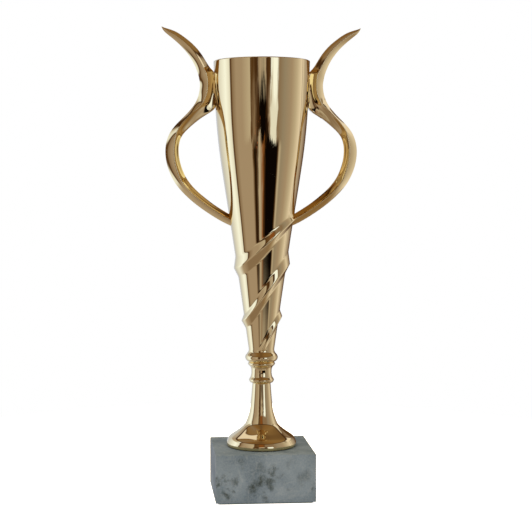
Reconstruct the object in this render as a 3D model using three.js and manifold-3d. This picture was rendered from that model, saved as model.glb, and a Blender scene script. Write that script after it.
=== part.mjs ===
// A two-handled cup trophy on a marble block.
//
// Millimetres, +Z up. The origin is the middle of the underside, where the felt meets the table.
// The handles lie along X and the front of the trophy faces -Y.
//
// How it is put together, from the table up:
//   felt pad, marble block, foot, collar and cup are stacked on one threaded rod. A nut under the
//   block, with a washer and a spring washer, pulls the stack together against a nut in the cup.
//   Each handle has a pad held by two screws from inside the cup, and a peg in a hole lower down.

import * as THREE from 'three';
import { mergeVertices } from 'three/addons/utils/BufferGeometryUtils.js';
import Module from 'manifold-3d';

// ---------------------------------------------------------------------------------------------
// Driving dimensions
// ---------------------------------------------------------------------------------------------

const SEGMENTS = 32; // sides of the turned gold pieces, a multiple of 4
const FIXING_SEGMENTS = 16; // sides of screws, washers, rod and holes
const STEP_ANGLE = (2 * Math.PI) / SEGMENTS;

// Marble block and felt
const BASE_WIDTH = 60;
const BASE_HEIGHT = 28.8;
const BASE_ARRIS = 0.7; // the small chamfer that takes off the sharp edges
const COUNTERBORE_RADIUS = 12.5;
const COUNTERBORE_DEPTH = 11;
const FELT_THICKNESS = 0.8;
const FELT_INSET = 1.5;

// Threaded rod and what is screwed on it
const ROD_DIAMETER = 5;
const ROD_CLEARANCE = 0.25; // round the rod in every hole that it passes through
const THREAD_GAP = 0.05; // between a nut and the rod
const ROD_STICKS_OUT = 1.6; // past each nut
const NUT_THICKNESS = 4;
const BASE_WASHER_RADIUS = 10;
const BASE_WASHER_THICKNESS = 1.2;
const SPRING_WASHER_THICKNESS = 1.2;
const CUP_WASHER_THICKNESS = 1;

// Foot, a hollow bell that is open below
const FOOT_HEIGHT = 38.4;
const FOOT_RADIUS = 21.45;
const FOOT_TOP_RADIUS = 5.6;
const FOOT_WALL = 1.6;
const FOOT_WEB = 3; // thickness of its closed top

// Collar, the turned piece between foot and cup
const COLLAR_HEIGHT = 13.6;
const COLLAR_LOWER_RING_RADIUS = 7.6;
const COLLAR_NECK_RADIUS = 6.2;
const COLLAR_UPPER_RING_RADIUS = 8.3;
const JOINT_RADIUS = 7.5; // where collar and cup meet

// Cup
const CUP_HEIGHT = 183.3;
const CUP_RIM_RADIUS = 29.35;
const CUP_NECK_RADIUS = 7.8; // just above the bead at its bottom
const CUP_BEAD_RADIUS = 10;
const CUP_BEAD_HEIGHT = 7.5;
const CUP_WALL = 2;
const CUP_FLOOR_THICKNESS = 10.2; // from the joint with the collar to the floor inside

// Spiral ridges: two alike, half a turn apart, one running down from each handle
const RIDGE_HEIGHT = 1.9; // how far it stands out from the cup
const RIDGE_TILT = 1.4; // the whole pair runs this much higher at the right side than midway
const RIDGE_LEVELS = [1, 0.674, 0.305, -0.062]; // at each half turn, as shares of the start

// Handles
const HANDLE_FOOT_DROP = 96.1; // from the rim down to where the lower end meets the cup
const HANDLE_DEPTH_SHARE = 1; // front-to-back depth over width, of the lozenge section
const HANDLE_STEPS = 40;
const PAD_TOP_DROP = 6.6; // from the rim down to the top of the pad on the cup
const PAD_BOTTOM_DROP = 30.2;
const PAD_WEB_HALF = 2; // half thickness of the web between strand and cup
const PAD_FLANGE_HALF = 3.1; // half width of the flange that lies on the cup
const PAD_FLANGE_THICKNESS = 1.3;
const HANDLE_GAP = 0.25; // between handle and cup
const PEG_RADIUS = 1.8;
const PEG_STICKS_IN = 0.4; // past the cup's inner wall
const PEG_GAP = 0.2;

// Screws that hold the handles
const SCREW_RADIUS = 1.45;
const SCREW_REACH = 5.4; // of thread in the handle
const SCREW_HEAD_RADIUS = 2.7;
const SCREW_HEAD_HEIGHT = 1.7;
const SCREW_GAP = 0.05;
const SCREW_DROPS = { upper: 13, lower: 22.5 }; // from the rim
const SCREW_WASHER_RADIUS = 3;
const SCREW_WASHER_THICKNESS = 0.6;
const SEAT_RADIUS = 3.4; // flat seat for the washer, cut in the cup's inner wall
const SEAT_GAP = 0.05;

// ---------------------------------------------------------------------------------------------
// Heights worked out from the stack
// ---------------------------------------------------------------------------------------------

const baseTop = FELT_THICKNESS + BASE_HEIGHT;
const footTop = baseTop + FOOT_HEIGHT;
const cupBottom = footTop + COLLAR_HEIGHT;
const cupRim = cupBottom + CUP_HEIGHT;
const cupFloor = cupBottom + CUP_FLOOR_THICKNESS;
const nutSeat = FELT_THICKNESS + COUNTERBORE_DEPTH;
const ridgeStart = CUP_HEIGHT - HANDLE_FOOT_DROP;

const rodRadius = ROD_DIAMETER / 2;
const boreRadius = rodRadius + ROD_CLEARANCE;
const nutRadius = (1.6 * ROD_DIAMETER) / 2 / Math.cos(Math.PI / 6);
const baseNutBottom = nutSeat - BASE_WASHER_THICKNESS - SPRING_WASHER_THICKNESS - NUT_THICKNESS;
const cupNutTop = cupFloor + CUP_WASHER_THICKNESS + NUT_THICKNESS;
const rodBottom = baseNutBottom - ROD_STICKS_OUT;
const rodTop = cupNutTop + ROD_STICKS_OUT;

// ---------------------------------------------------------------------------------------------
// Finishes
// ---------------------------------------------------------------------------------------------

const finishes = {
  gold: { color: 0xd9b877, roughness: 0.08, metalness: 1 },
  marble: { color: 0xa9b0b2, roughness: 0.3, metalness: 0 },
  steel: { color: 0xb9bcc0, roughness: 0.35, metalness: 1 },
  felt: { color: 0x1f3a2a, roughness: 1, metalness: 0 },
};

function finish(name) {
  return new THREE.MeshStandardMaterial(finishes[name]);
}

// ---------------------------------------------------------------------------------------------
// Solids: joining and cutting
// ---------------------------------------------------------------------------------------------

const wasm = await Module();
wasm.setup();

function toSolid(geometry) {
  const bare = geometry.clone();
  bare.deleteAttribute('normal');
  bare.deleteAttribute('uv');
  const merged = mergeVertices(bare, 1e-4);
  const mesh = new wasm.Mesh({
    numProp: 3,
    vertProperties: Float32Array.from(merged.attributes.position.array),
    triVerts: Uint32Array.from(merged.index.array),
  });
  return new wasm.Manifold(mesh);
}

function toGeometry(solid) {
  const mesh = solid.getMesh();
  const geometry = new THREE.BufferGeometry();
  geometry.setAttribute('position', new THREE.BufferAttribute(mesh.vertProperties, 3));
  geometry.setIndex(new THREE.BufferAttribute(mesh.triVerts, 1));
  geometry.computeVertexNormals();
  return geometry;
}

function join(solids) {
  return solids.reduce((whole, next) => whole.add(next));
}

function cut(solid, tools) {
  return tools.reduce((whole, tool) => whole.subtract(tool), solid);
}

// ---------------------------------------------------------------------------------------------
// Shapes that several pieces share
// ---------------------------------------------------------------------------------------------

// A piece turned about Z from an outline of [radius, height] that goes once round its material.
function turned(outline, sides = SEGMENTS) {
  const points = outline.map(([radius, height]) => new THREE.Vector2(radius, height));
  const geometry = new THREE.LatheGeometry([...points, points[0]], sides);
  return geometry.rotateX(Math.PI / 2);
}

function ring(innerRadius, outerRadius, bottom, top) {
  const outline = [[innerRadius, bottom], [outerRadius, bottom], [outerRadius, top], [innerRadius, top]];
  return turned(outline, FIXING_SEGMENTS);
}

// A solid round bar from one height to another, with its ends bevelled when asked.
function bar(radius, bottom, top, bevel = 0) {
  const outline = [[0, bottom], [radius - bevel, bottom], [radius, bottom + bevel]];
  outline.push([radius, top - bevel], [radius - bevel, top], [0, top]);
  const points = outline.map(([r, z]) => new THREE.Vector2(r, z));
  return new THREE.LatheGeometry(points, FIXING_SEGMENTS).rotateX(Math.PI / 2);
}

// The same bar laid along X at a given height.
function barAlongX(radius, from, to, height) {
  return bar(radius, from, to).rotateY(Math.PI / 2).translate(0, 0, height);
}

// A smooth line through [radius, height] points, as more points.
function smoothLine(points, count) {
  const curve = new THREE.SplineCurve(points.map(([r, z]) => new THREE.Vector2(r, z)));
  return curve.getPoints(count).map((p) => [p.x, p.y]);
}

// A smooth function through [x, y] points: a cubic between neighbours, with no overshoot at the ends.
function smoothFunction(points) {
  const slopes = points.map((point, i) => {
    const before = points[Math.max(i - 1, 0)];
    const after = points[Math.min(i + 1, points.length - 1)];
    return (after[1] - before[1]) / (after[0] - before[0]);
  });
  return (x) => {
    const clamped = THREE.MathUtils.clamp(x, points[0][0], points[points.length - 1][0]);
    let i = 0;
    while (i < points.length - 2 && clamped > points[i + 1][0]) i += 1;
    const [x0, y0] = points[i];
    const [x1, y1] = points[i + 1];
    const span = x1 - x0;
    const t = (clamped - x0) / span;
    const bend = (slopes[i] * (1 - t) - slopes[i + 1] * t) * span + (y1 - y0) * (2 * t - 1);
    return y0 + (y1 - y0) * t + t * (1 - t) * bend;
  };
}

// A closed skin over rows of points: every row has the same number of points and closes on
// itself. The rows close on each other when ringShaped is true, and otherwise the two end rows
// are filled in.
function skin(rows, ringShaped) {
  const across = rows[0].length;
  const positions = rows.flat().flatMap((p) => [p.x, p.y, p.z]);
  const index = [];
  const at = (row, column) => (row % rows.length) * across + (column % across);
  const lastRow = ringShaped ? rows.length : rows.length - 1;
  for (let row = 0; row < lastRow; row += 1) {
    for (let column = 0; column < across; column += 1) {
      const a = at(row, column);
      const b = at(row, column + 1);
      const c = at(row + 1, column + 1);
      const d = at(row + 1, column);
      index.push(a, b, c, a, c, d);
    }
  }
  if (!ringShaped) {
    for (let column = 1; column < across - 1; column += 1) {
      index.push(at(0, 0), at(0, column + 1), at(0, column));
      index.push(at(lastRow, 0), at(lastRow, column), at(lastRow, column + 1));
    }
  }
  const geometry = new THREE.BufferGeometry();
  geometry.setAttribute('position', new THREE.Float32BufferAttribute(positions, 3));
  geometry.setIndex(index);
  return geometry;
}

// A hexagon nut with a round hole, standing on a height.
function nut(bottom) {
  const outline = new THREE.Shape();
  for (let corner = 0; corner < 6; corner += 1) {
    const angle = (corner * Math.PI) / 3;
    const x = nutRadius * Math.cos(angle);
    const y = nutRadius * Math.sin(angle);
    if (corner === 0) outline.moveTo(x, y);
    else outline.lineTo(x, y);
  }
  outline.closePath();
  const hole = new THREE.Path();
  hole.absarc(0, 0, rodRadius + THREAD_GAP, 0, 2 * Math.PI, true);
  outline.holes.push(hole);
  const options = { depth: NUT_THICKNESS, bevelEnabled: false, curveSegments: FIXING_SEGMENTS };
  return new THREE.ExtrudeGeometry(outline, options).translate(0, 0, bottom);
}

// ---------------------------------------------------------------------------------------------
// Cup: the plain wall, and the ridges that stand out from it
// ---------------------------------------------------------------------------------------------

// How the wall opens from the bead (0) to the rim (1): straight at first, then curving upright.
const cupOpening = smoothFunction([
  [0, 0], [0.2, 0.232], [0.4, 0.476], [0.6, 0.731], [0.7, 0.847], [0.8, 0.926], [0.9, 0.971], [1, 1],
]);

// Radius of the plain wall at a height above the cup's bottom.
function cupRadius(height) {
  const share = (height - CUP_BEAD_HEIGHT) / (CUP_HEIGHT - CUP_BEAD_HEIGHT);
  return CUP_NECK_RADIUS + (CUP_RIM_RADIUS - CUP_NECK_RADIUS) * cupOpening(share);
}

// Height of a ridge's crest after some half turns. It runs nearly level past the sides of the
// cup and drops steeply across its front and back.
function ridgeHeight(halfTurns) {
  const whole = Math.min(Math.floor(halfTurns), RIDGE_LEVELS.length - 2);
  const part = halfTurns - whole;
  const eased = 0.1 * part + 0.9 * THREE.MathUtils.smootherstep(Math.pow(part, 0.9), 0, 1);
  return ridgeStart * THREE.MathUtils.lerp(RIDGE_LEVELS[whole], RIDGE_LEVELS[whole + 1], eased);
}

// How far a ridge spreads above and below its crest, and how proud it stands.
const spreadAbove = smoothFunction([[0, 2.6], [0.5, 5.2], [1, 7.6], [1.5, 6.2], [1.8, 4.2], [2.5, 4.6]]);
const spreadBelow = smoothFunction([[0, 2.6], [0.5, 6.2], [1, 5.8], [1.5, 6], [2, 5], [2.5, 4.6]]);
const ridgeProud = smoothFunction([[0, 0], [0.06, 1], [0.3, 1], [2.1, 1], [2.35, 0.75], [2.55, 0.35]]);

// How far the two ridges stand out at a height and an angle counted from the right side
// towards the front.
function ridgeRelief(height, angle) {
  let relief = 0;
  for (let halfTurns = angle / Math.PI; halfTurns < 2.6; halfTurns += 1) {
    const above = height - ridgeHeight(halfTurns);
    const spread = above > 0 ? spreadAbove(halfTurns) : spreadBelow(halfTurns);
    const nearness = Math.max(0, 1 - Math.abs(above) / spread);
    relief = Math.max(relief, RIDGE_HEIGHT * ridgeProud(halfTurns) * nearness);
  }
  return relief;
}

// Each half turn further back than the right side starts at the left handle.
function passesOf(angle) {
  return angle >= Math.PI ? angle - Math.PI : angle;
}

function tiltAt(height) {
  const risen = THREE.MathUtils.smoothstep(height, CUP_BEAD_HEIGHT, CUP_BEAD_HEIGHT + 16);
  const gone = THREE.MathUtils.smoothstep(height, ridgeStart + 4, ridgeStart + 26);
  return RIDGE_TILT * risen * (1 - gone);
}

// A level row of points round the cup, at a radius that may depend on height and angle.
function rowAt(height, radiusAt) {
  const row = [];
  for (let column = 0; column < SEGMENTS; column += 1) {
    const angle = 2 * Math.PI - column * STEP_ANGLE;
    const lifted = height + tiltAt(height) * Math.cos(angle);
    const radius = radiusAt(height, lifted, angle % (2 * Math.PI));
    const x = radius * Math.cos(angle);
    const y = -radius * Math.sin(angle);
    row.push(new THREE.Vector3(x, y, cupBottom + lifted));
  }
  return row;
}

function flatRow(radius, height) {
  return rowAt(height, () => radius).map((p) => p.setZ(cupBottom + height));
}

function beadLine(grow) {
  const bead = smoothLine([
    [JOINT_RADIUS, 0], [9.3, 0.9], [CUP_BEAD_RADIUS, 2.8], [9.2, 4.6], [8.1, 5.8],
    [CUP_NECK_RADIUS, CUP_BEAD_HEIGHT],
  ], 9);
  return bead.map(([radius, height]) => flatRow(radius + grow, height));
}

// Rows up the outside of the cup. Where the ridges are, each row meets both crests at a point.
function outsideRows(grow) {
  const rows = beadLine(grow);
  const wall = (height, lifted, angle) => cupRadius(lifted) + grow + ridgeRelief(height, passesOf(angle));
  const turns = [];
  for (let k = 0; ridgeHeight((k * 2) / SEGMENTS) > CUP_BEAD_HEIGHT + 0.6; k += 1) turns.unshift(k);
  turns.forEach((k) => rows.push(rowAt(ridgeHeight((k * 2) / SEGMENTS), wall)));
  const plain = 9;
  for (let k = 1; k <= plain; k += 1) {
    const height = THREE.MathUtils.lerp(ridgeStart, CUP_HEIGHT - 0.7, k / plain);
    rows.push(rowAt(height, wall));
  }
  return rows;
}

function cupSolid() {
  const rows = outsideRows(0);
  rows.push(flatRow(CUP_RIM_RADIUS - 0.6, CUP_HEIGHT));
  rows.push(flatRow(CUP_RIM_RADIUS - CUP_WALL + 0.5, CUP_HEIGHT));
  const inner = 10;
  for (let k = 0; k <= inner; k += 1) {
    const height = THREE.MathUtils.lerp(CUP_HEIGHT - 0.6, CUP_FLOOR_THICKNESS, k / inner);
    rows.push(flatRow(cupRadius(height) - CUP_WALL, height));
  }
  rows.push(flatRow(boreRadius, CUP_FLOOR_THICKNESS));
  rows.push(flatRow(boreRadius, 0));
  return toSolid(skin(rows, true));
}

// The cup as one solid block with no inside, a little bigger all round: it shapes the handles.
function cupBlock() {
  const rows = outsideRows(HANDLE_GAP);
  rows.push(flatRow(CUP_RIM_RADIUS + HANDLE_GAP, CUP_HEIGHT + 1));
  return toSolid(skin(rows, false));
}

// ---------------------------------------------------------------------------------------------
// Handles: built for the right side, and turned half round for the left
// ---------------------------------------------------------------------------------------------

// The middle line of the strand from the horn's tip to the lower end, as distance out from the
// rim's radius, height above the rim, and width of the strand.
const HANDLE_LINE = [
  [31.4, 20.9, 0.4], [28.0, 18.4, 3.4], [18.2, 11.5, 5.4], [13.3, 6.4, 6.3], [9.2, 0.7, 7.0],
  [5.8, -6.0, 7.8], [4.2, -13.4, 8.2], [4.8, -19.6, 8.2], [7.6, -27.5, 7.9], [15.0, -35.9, 7.2],
  [20.3, -40.9, 7.0], [23.6, -45.6, 7.5], [25.3, -54.4, 8.2], [23.5, -65.3, 7.8], [20.9, -70.9, 7.6],
  [13.6, -80.2, 6.7], [1.5, -89.9, 6.3], [-14.7, -99.2, 6.0],
];

function strand() {
  const line = HANDLE_LINE.map(([out, up]) => {
    return new THREE.Vector3(CUP_RIM_RADIUS + out, 0, cupRim + up);
  });
  const curve = new THREE.CatmullRomCurve3(line, false, 'centripetal');
  const widths = smoothFunction(HANDLE_LINE.map((point, i) => [i / (HANDLE_LINE.length - 1), point[2]]));
  const rows = [];
  for (let step = 0; step <= HANDLE_STEPS; step += 1) {
    const t = step / HANDLE_STEPS;
    const middle = curve.getPoint(t);
    const along = curve.getTangent(t);
    const half = widths(t) / 2;
    rows.push(lozenge(middle, new THREE.Vector3(-along.z, 0, along.x), half));
  }
  return toSolid(skin(rows, false));
}

// One section: sharp edges outside and inside, sharp crests front and back, full outer faces and
// slightly hollow inner faces.
function lozenge(middle, outward, half) {
  const deep = half * HANDLE_DEPTH_SHARE;
  const corners = [[1, 0], [0.58, 0.56], [0, 1], [-0.56, 0.38], [-1, 0], [-0.56, -0.38], [0, -1], [0.58, -0.56]];
  return corners.map(([out, front]) => {
    const corner = middle.clone().addScaledVector(outward, out * half);
    corner.y -= front * deep;
    return corner;
  });
}

// A flat plate in the handle's plane, centred front to back.
function plate(outline, halfThickness) {
  const points = outline.map(([x, z]) => new THREE.Vector2(x, z));
  const shape = new THREE.Shape(points);
  const solid = new THREE.ExtrudeGeometry(shape, { depth: 2 * halfThickness, bevelEnabled: false });
  return toSolid(solid.rotateX(Math.PI / 2).translate(0, halfThickness, 0));
}

// The web fills the corners between the strand and the cup, and the flange lies on the cup.
function pad() {
  const wall = cupRadius(CUP_HEIGHT - (PAD_TOP_DROP + PAD_BOTTOM_DROP) / 2);
  const top = cupRim - PAD_TOP_DROP;
  const bottom = cupRim - PAD_BOTTOM_DROP;
  const inside = wall - CUP_WALL;
  const web = plate([
    [inside, top - 3], [inside, bottom + 2], [wall + 1.2, bottom], [wall + 8.3, bottom - 4.5],
    [wall + 8, bottom + 3], [wall + 4.6, bottom + 12], [wall + 4.6, top - 4], [wall + 3.4, top + 3.8],
  ], PAD_WEB_HALF);
  const face = wall + PAD_FLANGE_THICKNESS;
  const flange = plate([
    [inside, top - 5], [inside, bottom + 2], [wall + 0.6, bottom + 0.6], [face, bottom + 1.6],
    [face, top - 5.4], [wall + 0.6, top - 3.6],
  ], PAD_FLANGE_HALF);
  return join([web, flange]);
}

const pegHeight = cupRim - HANDLE_FOOT_DROP + 1;
const pegWall = cupRadius(pegHeight - cupBottom);

function pegSolid(grow, from) {
  return toSolid(barAlongX(PEG_RADIUS + grow, from, pegWall + 4, pegHeight));
}

// Where the washer of a screw sits: just deep enough in the wall to be flat all over.
function seatOf(drop) {
  return cupRadius(CUP_HEIGHT - drop + SEAT_RADIUS) - CUP_WALL + 0.1;
}

function screwHole(drop, radius) {
  const seat = seatOf(drop);
  return toSolid(barAlongX(radius, seat - 2, seat + CUP_WALL + SCREW_REACH + 1, cupRim - drop));
}

function halfTurn(solid, side) {
  return side === 'left' ? toSolid(toGeometry(solid).rotateZ(Math.PI)) : solid;
}

function handleSolid(side, block) {
  const blank = halfTurn(join([strand(), pad()]), side);
  const shaped = blank.subtract(block);
  const peg = halfTurn(pegSolid(0, pegWall - CUP_WALL - PEG_STICKS_IN), side);
  const holes = Object.values(SCREW_DROPS).map((drop) => {
    return halfTurn(screwHole(drop, SCREW_RADIUS + SCREW_GAP), side);
  });
  return cut(shaped.add(peg), holes);
}

// Holes in the cup for one handle's peg and screws, and the seats for the washers.
function handleHoles(side) {
  const tools = [pegSolid(PEG_GAP, pegWall - CUP_WALL - 3)];
  Object.values(SCREW_DROPS).forEach((drop) => {
    tools.push(screwHole(drop, SCREW_RADIUS + ROD_CLEARANCE));
    tools.push(toSolid(barAlongX(SEAT_RADIUS, seatOf(drop) - 3, seatOf(drop), cupRim - drop)));
  });
  return tools.map((tool) => halfTurn(tool, side));
}

// ---------------------------------------------------------------------------------------------
// The pieces
// ---------------------------------------------------------------------------------------------

const trophy = new THREE.Group();

function addPiece(name, geometry, finishName, parent = trophy) {
  const mesh = new THREE.Mesh(geometry, finish(finishName));
  mesh.name = name;
  parent.add(mesh);
  return mesh;
}

function squareOutline(width, corner) {
  const half = width / 2;
  const shape = new THREE.Shape();
  shape.moveTo(half - corner, -half);
  [[1, 1], [-1, 1], [-1, -1], [1, -1]].forEach(([x, y]) => {
    const before = x * y > 0 ? [x * half, y * (half - corner)] : [x * (half - corner), y * half];
    const after = x * y > 0 ? [x * (half - corner), y * half] : [x * half, y * (half - corner)];
    shape.lineTo(...before);
    shape.lineTo(...after);
  });
  return shape;
}

function addBase() {
  const options = { depth: FELT_THICKNESS, bevelEnabled: false };
  const felt = new THREE.ExtrudeGeometry(squareOutline(BASE_WIDTH - 2 * FELT_INSET, 1.5), options);
  addPiece('felt_pad', felt, 'felt');

  const inset = BASE_WIDTH - 2 * BASE_ARRIS;
  const block = new THREE.ExtrudeGeometry(squareOutline(inset, BASE_ARRIS), {
    depth: BASE_HEIGHT - 2 * BASE_ARRIS,
    bevelThickness: BASE_ARRIS,
    bevelSize: BASE_ARRIS,
    bevelSegments: 1,
  });
  const stone = toSolid(block.translate(0, 0, FELT_THICKNESS + BASE_ARRIS));
  const bore = toSolid(bar(boreRadius, 0, baseTop + 1));
  const recess = toSolid(bar(COUNTERBORE_RADIUS, 0, nutSeat));
  addPiece('marble_base', toGeometry(cut(stone, [bore, recess])), 'marble');
}

function springWasher(bottom) {
  const inner = boreRadius;
  const outer = nutRadius;
  const slit = 0.16;
  const shape = new THREE.Shape();
  shape.absarc(0, 0, outer, slit, 2 * Math.PI - slit, false);
  shape.absarc(0, 0, inner, 2 * Math.PI - slit, slit, true);
  shape.closePath();
  const options = { depth: SPRING_WASHER_THICKNESS, bevelEnabled: false, curveSegments: FIXING_SEGMENTS };
  return new THREE.ExtrudeGeometry(shape, options).translate(0, 0, bottom);
}

function addFastening() {
  addPiece('tie_rod', bar(rodRadius, rodBottom, rodTop, 0.5), 'steel');
  const washerBottom = nutSeat - BASE_WASHER_THICKNESS;
  addPiece('base_washer', ring(boreRadius, BASE_WASHER_RADIUS, washerBottom, nutSeat), 'steel');
  addPiece('base_spring_washer', springWasher(washerBottom - SPRING_WASHER_THICKNESS), 'steel');
  addPiece('base_nut', nut(baseNutBottom), 'steel');
  const washerTop = cupFloor + CUP_WASHER_THICKNESS;
  addPiece('cup_washer', ring(boreRadius, ROD_DIAMETER, cupFloor, washerTop), 'steel');
  addPiece('cup_nut', nut(washerTop), 'steel');
}

// A thin bell: a rounded edge on the marble, a wide hollow flare, then a long waisted stem.
function addFoot() {
  const outside = smoothLine([
    [FOOT_RADIUS - 1.1, 0], [FOOT_RADIUS, 2.1], [FOOT_RADIUS - 1.9, 6], [14.7, 9.4], [10.6, 12.9],
    [8.85, 16.4], [7.2, 21.8], [6.5, 27.5], [FOOT_TOP_RADIUS, FOOT_HEIGHT],
  ], 20);
  const inside = smoothLine([
    [FOOT_TOP_RADIUS - FOOT_WALL, FOOT_HEIGHT - FOOT_WEB], [6.5 - FOOT_WALL, 24],
    [8.85 - FOOT_WALL, 14.4], [14.7 - FOOT_WALL, 7.4], [FOOT_RADIUS - 1.6 - FOOT_WALL, 3.4],
    [FOOT_RADIUS - 1.2 - FOOT_WALL, 0],
  ], 10);
  const outline = [...outside, [boreRadius, FOOT_HEIGHT], [boreRadius, FOOT_HEIGHT - FOOT_WEB], ...inside];
  addPiece('foot', turned(outline).translate(0, 0, baseTop), 'gold');
}

// A ring below, a waisted neck, and a ring above that the cup sits on.
function addCollar() {
  const outside = smoothLine([
    [FOOT_TOP_RADIUS, 0], [7.2, 1.3], [COLLAR_LOWER_RING_RADIUS, 2.5], [6.9, 3.6],
    [COLLAR_NECK_RADIUS, 7.4], [6.5, 9.9], [7.8, 11.3], [COLLAR_UPPER_RING_RADIUS, 12.2],
    [JOINT_RADIUS, COLLAR_HEIGHT],
  ], 16);
  const outline = [...outside, [boreRadius, COLLAR_HEIGHT], [boreRadius, 0]];
  addPiece('collar', turned(outline).translate(0, 0, footTop), 'gold');
}

function addCup() {
  const holes = ['left', 'right'].flatMap(handleHoles);
  addPiece('cup', toGeometry(cut(cupSolid(), holes)), 'gold');
}

function screw() {
  const head = SCREW_HEAD_HEIGHT;
  const shank = CUP_WALL + SCREW_REACH;
  const outline = [
    [0, -head], [1.2, -head], [2.2, -head * 0.8], [SCREW_HEAD_RADIUS, -head * 0.35],
    [SCREW_HEAD_RADIUS, 0], [SCREW_RADIUS, 0], [SCREW_RADIUS, shank - 1.4], [0.4, shank], [0, shank],
  ];
  const points = outline.map(([r, z]) => new THREE.Vector2(r, z));
  return new THREE.LatheGeometry(points, FIXING_SEGMENTS).rotateX(Math.PI / 2);
}

// A handle, and its screws and washers, in a group that is turned half round for the left side.
function addHandle(side, block) {
  addPiece(`${side}_handle`, toGeometry(handleSolid(side, block)), 'gold');
  const fasteners = new THREE.Group();
  fasteners.rotation.z = side === 'left' ? Math.PI : 0;
  trophy.add(fasteners);
  Object.entries(SCREW_DROPS).forEach(([place, drop]) => {
    const seat = seatOf(drop) - SEAT_GAP;
    const hole = SCREW_RADIUS + 0.15;
    const washerFace = seat - SCREW_WASHER_THICKNESS;
    const disc = ring(hole, SCREW_WASHER_RADIUS, washerFace, seat);
    const washer = addPiece(`${side}_handle_${place}_washer`, disc, 'steel', fasteners);
    const fixing = addPiece(`${side}_handle_${place}_screw`, screw(), 'steel', fasteners);
    washer.rotation.y = Math.PI / 2;
    washer.position.z = cupRim - drop;
    fixing.rotation.y = Math.PI / 2;
    fixing.position.set(washerFace - SEAT_GAP, 0, cupRim - drop);
  });
}

addBase();
addFastening();
addFoot();
addCollar();
addCup();
const block = cupBlock();
['left', 'right'].forEach((side) => addHandle(side, block));

export default trophy;
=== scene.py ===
# %% [markdown]
# # A gold cup trophy on a marble block
# The trophy is a tall mirror-gold cup with two sharp-edged handles, screwed through a collar and a
# foot to a square block of marble. The solids of the design are loaded first, and every piece made
# below takes its place from them. The gold pieces, the block and the felt are made again here with
# far finer surfaces, because a mirror finish shows every facet.

# %% Load the design
import bpy
import math
import numpy as np
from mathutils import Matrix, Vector


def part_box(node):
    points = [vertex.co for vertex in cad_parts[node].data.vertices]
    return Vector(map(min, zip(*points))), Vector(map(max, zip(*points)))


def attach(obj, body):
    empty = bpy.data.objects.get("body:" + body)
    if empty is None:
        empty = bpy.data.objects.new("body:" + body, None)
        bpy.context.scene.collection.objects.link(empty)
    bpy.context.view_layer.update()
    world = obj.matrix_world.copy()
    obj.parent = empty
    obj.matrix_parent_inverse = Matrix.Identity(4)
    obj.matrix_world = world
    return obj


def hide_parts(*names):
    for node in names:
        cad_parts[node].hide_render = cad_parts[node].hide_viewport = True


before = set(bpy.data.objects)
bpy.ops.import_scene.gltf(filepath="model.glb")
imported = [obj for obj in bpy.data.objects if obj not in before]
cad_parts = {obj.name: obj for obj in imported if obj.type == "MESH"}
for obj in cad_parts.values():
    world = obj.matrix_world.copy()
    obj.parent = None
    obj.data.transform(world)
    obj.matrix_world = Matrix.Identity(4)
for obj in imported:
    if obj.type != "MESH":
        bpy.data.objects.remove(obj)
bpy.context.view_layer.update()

MM = 0.001

# %% [markdown]
# ## Heights
# The rod stacks the pieces, so each one starts where the one below it ends. The design's boxes give
# these heights, and the outlines of the turned pieces are counted up from them.

# %% Heights of the stack
base_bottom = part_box("marble_base")[0].z
base_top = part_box("marble_base")[1].z
foot_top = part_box("foot")[1].z
cup_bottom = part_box("cup")[0].z
cup_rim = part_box("cup")[1].z
rim_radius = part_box("cup")[1].x
print("base top, foot top, cup bottom, rim, mm:",
      [round(h / MM, 1) for h in (base_top, foot_top, cup_bottom, cup_rim)])

# %% [markdown]
# ## The camera
# The view is that of a small product picture: a long lens, a little above the middle of the
# trophy and a little to the left of straight in front, so that the left side of the block shows.

# %% Camera
camera_data = bpy.data.cameras.new("camera")
camera_data.lens = 88.95
camera_data.sensor_width = 36
camera_data.shift_x = 0.05
camera_data.shift_y = -0.03
camera_data.clip_end = 20
camera = bpy.data.objects.new("camera", camera_data)
bpy.context.scene.collection.objects.link(camera)
camera.location = (-0.0772, -0.800, 0.1863)
camera_aim = Vector((-0.0136, 0, 0.1500))
camera.rotation_euler = (camera_aim - camera.location).to_track_quat("-Z", "Y").to_euler()
bpy.context.scene.camera = camera
bpy.context.scene.view_settings.view_transform = "Standard"

# %% [markdown]
# ## Shader sums as plain Python
# A node tree is easier to read as a sum. The class below wraps a socket, so that + - * / on it add
# Math nodes, and one method adds any other node from its type, its settings and its inputs.

# %% A socket that does sums, and a material to put nodes in
class Sock:
    """A node's output inside a Shader, with arithmetic on values."""

    def __init__(self, shader, socket):
        self.shader = shader
        self.socket = socket

    def math(self, operation, first, second=0.0, third=0.0):
        inputs = {0: first, 1: second, 2: third}
        return self.shader.node("ShaderNodeMath", {"operation": operation}, inputs)

    def __add__(self, other):
        return self.math("ADD", self, other)

    def __radd__(self, other):
        return self.math("ADD", other, self)

    def __sub__(self, other):
        return self.math("SUBTRACT", self, other)

    def __rsub__(self, other):
        return self.math("SUBTRACT", other, self)

    def __mul__(self, other):
        return self.math("MULTIPLY", self, other)

    def __rmul__(self, other):
        return self.math("MULTIPLY", other, self)

    def __truediv__(self, other):
        return self.math("DIVIDE", self, other)

    def abs(self):
        return self.math("ABSOLUTE", self)

    def between(self, low, high):
        """0 below low, 1 above high, eased in the middle. Low may be above high."""
        flipped = low > high
        settings = {"interpolation_type": "SMOOTHSTEP"}
        inputs = {"Value": self, "From Min": min(low, high), "From Max": max(low, high)}
        rise = self.shader.node("ShaderNodeMapRange", settings, inputs)
        return 1 - rise if flipped else rise


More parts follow.
